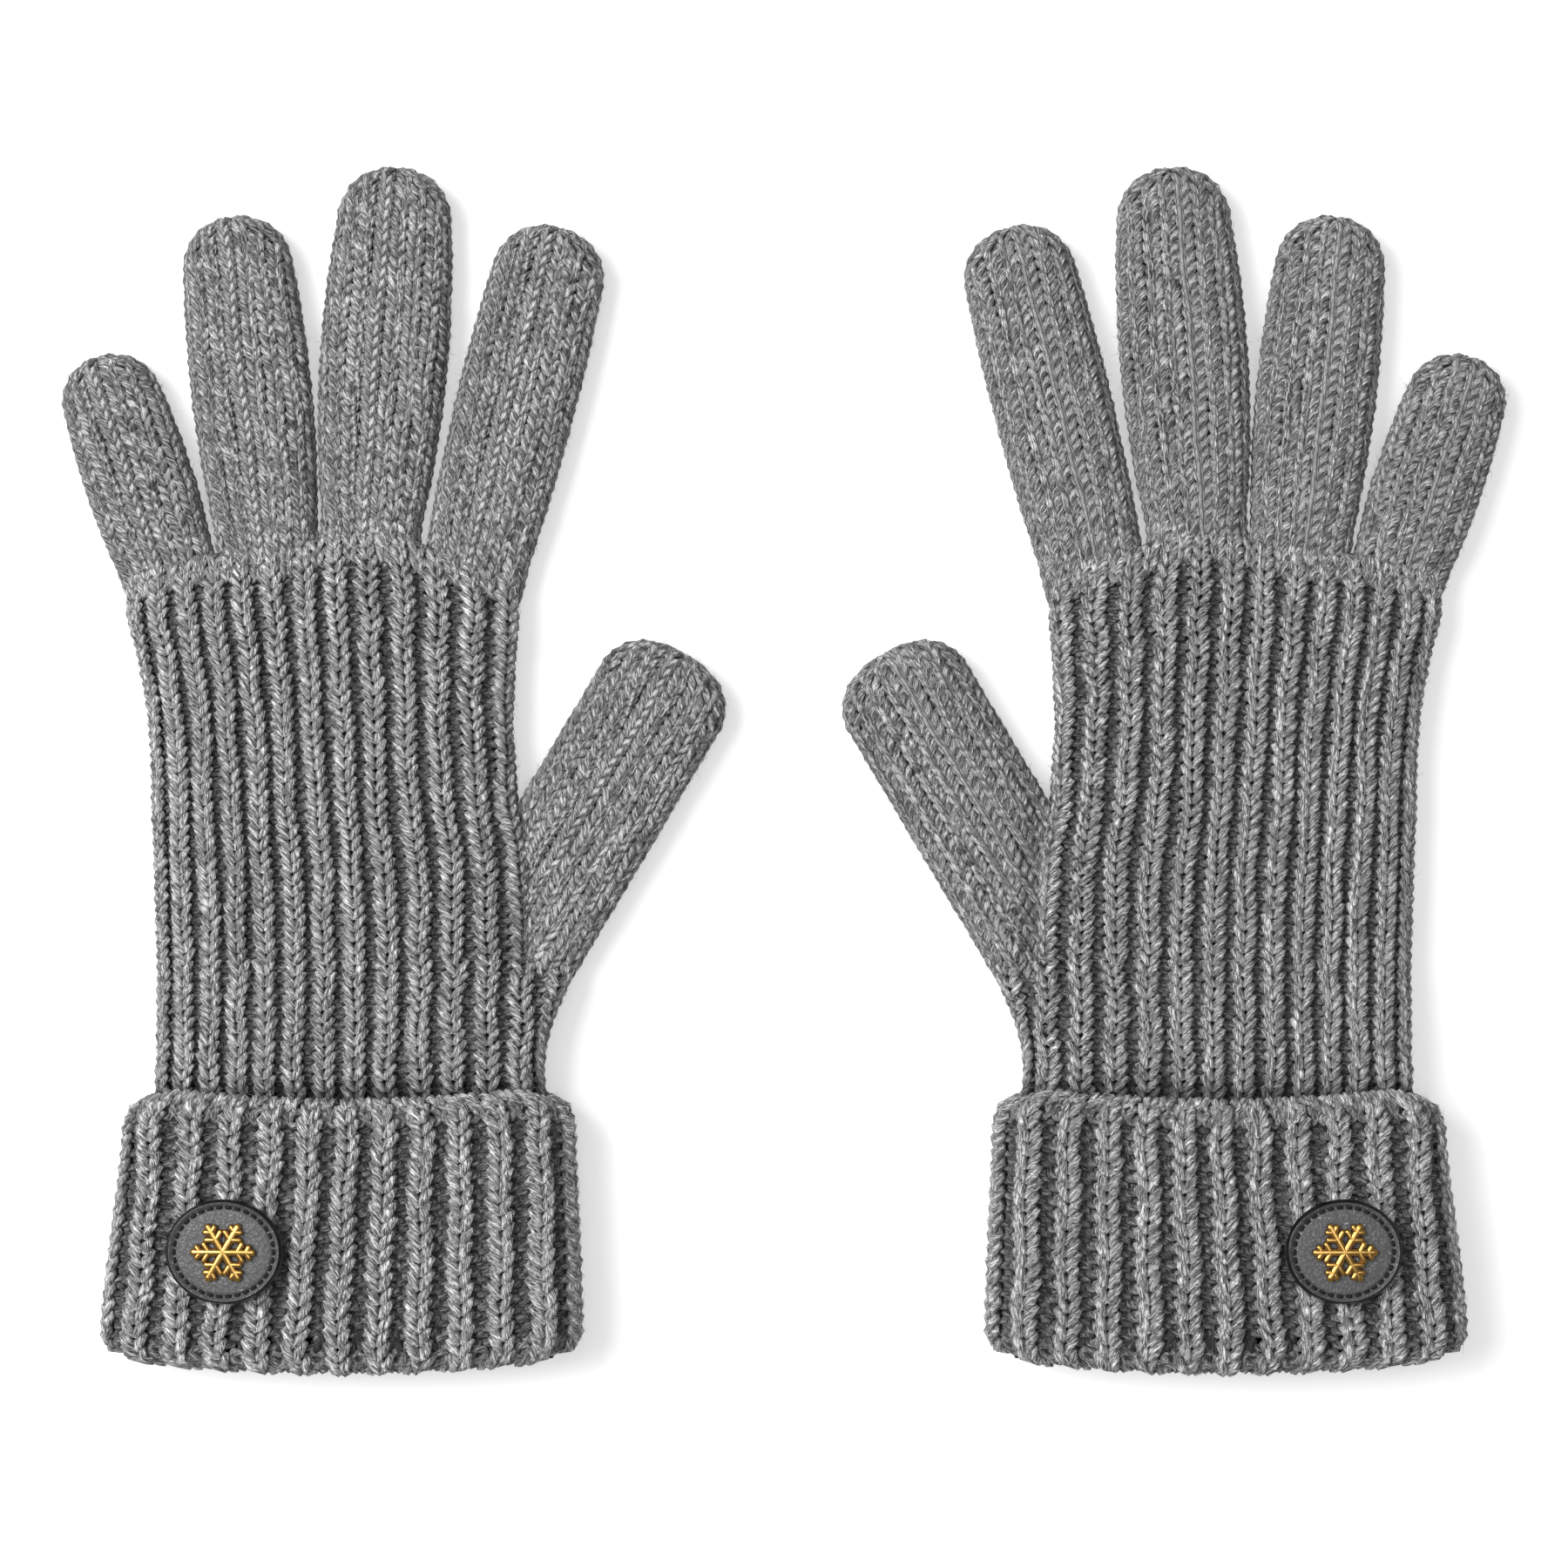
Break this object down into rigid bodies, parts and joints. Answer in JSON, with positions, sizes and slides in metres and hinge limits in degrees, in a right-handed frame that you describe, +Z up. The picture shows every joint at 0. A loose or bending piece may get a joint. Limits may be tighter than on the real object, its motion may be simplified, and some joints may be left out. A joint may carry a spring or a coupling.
{
  "type": "knitted gloves",
  "caption": "Pair of knitted wool gloves, ribbed hand, plain-knit fingers, wide turned-up ribbed cuff with an oval leather patch and a small brass snowflake, lying flat",
  "frame": {"origin": "under the middle of the pair, on the surface that the gloves lie on", "axes": "+X across the pair towards the right-hand glove, +Y from the cuffs towards the fingertips, +Z up from the surface, backs of the hands up"},
  "size_m": [0.3, 0.2507, 0.0261],
  "materials": {
    "yarn": "matte",
    "leather": "satin",
    "backing": "matte",
    "thread": "matte",
    "brass": "satin"
  },
  "bodies": {
    "left_hand": {"left_hand": "yarn"},
    "left_index_finger": {"left_index_finger": "yarn"},
    "left_middle_finger": {"left_middle_finger": "yarn"},
    "left_ring_finger": {"left_ring_finger": "yarn"},
    "left_little_finger": {"left_little_finger": "yarn"},
    "left_thumb": {"left_thumb": "yarn"},
    "left_cuff": {"left_wrist": "yarn", "left_cuff": "yarn", "left_patch_backing": "backing", "left_patch_leather": "leather", "left_patch_thread": "thread", "left_emblem": "brass", "left_emblem_washer": "brass"},
    "right_hand": {"right_hand": "yarn"},
    "right_index_finger": {"right_index_finger": "yarn"},
    "right_middle_finger": {"right_middle_finger": "yarn"},
    "right_ring_finger": {"right_ring_finger": "yarn"},
    "right_little_finger": {"right_little_finger": "yarn"},
    "right_thumb": {"right_thumb": "yarn"},
    "right_cuff": {"right_wrist": "yarn", "right_cuff": "yarn", "right_patch_backing": "backing", "right_patch_leather": "leather", "right_patch_thread": "thread", "right_emblem": "brass", "right_emblem_washer": "brass"}
  },
  "joints": [
    {"name": "gloves_apart", "type": "slide", "parent": "left_hand", "child": "right_hand", "axis": [1, 0, 0], "range_m": [0, 0.2]},
    {"name": "left_index_fold", "type": "hinge", "parent": "left_hand", "child": "left_index_finger", "pos_m": [-0.0632, 0.0463, 0.006], "axis": [0.9699, -0.2434, 0], "range_deg": [-60, 60]},
    {"name": "left_middle_fold", "type": "hinge", "parent": "left_hand", "child": "left_middle_finger", "pos_m": [-0.0856, 0.0524, 0.006], "axis": [0.9972, -0.0753, 0], "range_deg": [-60, 60]},
    {"name": "left_ring_fold", "type": "hinge", "parent": "left_hand", "child": "left_ring_finger", "pos_m": [-0.1076, 0.0505, 0.006], "axis": [0.9943, 0.1067, 0], "range_deg": [-60, 60]},
    {"name": "left_little_fold", "type": "hinge", "parent": "left_hand", "child": "left_little_finger", "pos_m": [-0.1287, 0.0442, 0.006], "axis": [0.9484, 0.3171, 0], "range_deg": [-60, 60]},
    {"name": "left_thumb_fold", "type": "hinge", "parent": "left_hand", "child": "left_thumb", "pos_m": [-0.0553, -0.0224, 0.0064], "axis": [0, -1, 0], "range_deg": [-40, 40]},
    {"name": "left_wrist_fold", "type": "hinge", "parent": "left_hand", "child": "left_cuff", "pos_m": [-0.0893, -0.0629, 0.0106], "axis": [-1, 0, 0], "range_deg": [-45, 45]},
    {"name": "right_index_fold", "type": "hinge", "parent": "right_hand", "child": "right_index_finger", "pos_m": [0.0632, 0.0463, 0.006], "axis": [0.9699, 0.2434, 0], "range_deg": [-60, 60]},
    {"name": "right_middle_fold", "type": "hinge", "parent": "right_hand", "child": "right_middle_finger", "pos_m": [0.0856, 0.0524, 0.006], "axis": [0.9972, 0.0753, 0], "range_deg": [-60, 60]},
    {"name": "right_ring_fold", "type": "hinge", "parent": "right_hand", "child": "right_ring_finger", "pos_m": [0.1076, 0.0505, 0.006], "axis": [0.9943, -0.1067, 0], "range_deg": [-60, 60]},
    {"name": "right_little_fold", "type": "hinge", "parent": "right_hand", "child": "right_little_finger", "pos_m": [0.1287, 0.0442, 0.006], "axis": [0.9484, -0.3171, 0], "range_deg": [-60, 60]},
    {"name": "right_thumb_fold", "type": "hinge", "parent": "right_hand", "child": "right_thumb", "pos_m": [0.0553, -0.0224, 0.0064], "axis": [0, 1, 0], "range_deg": [-40, 40]},
    {"name": "right_wrist_fold", "type": "hinge", "parent": "right_hand", "child": "right_cuff", "pos_m": [0.0893, -0.0629, 0.0106], "axis": [-1, 0, 0], "range_deg": [-45, 45]}
  ]
}
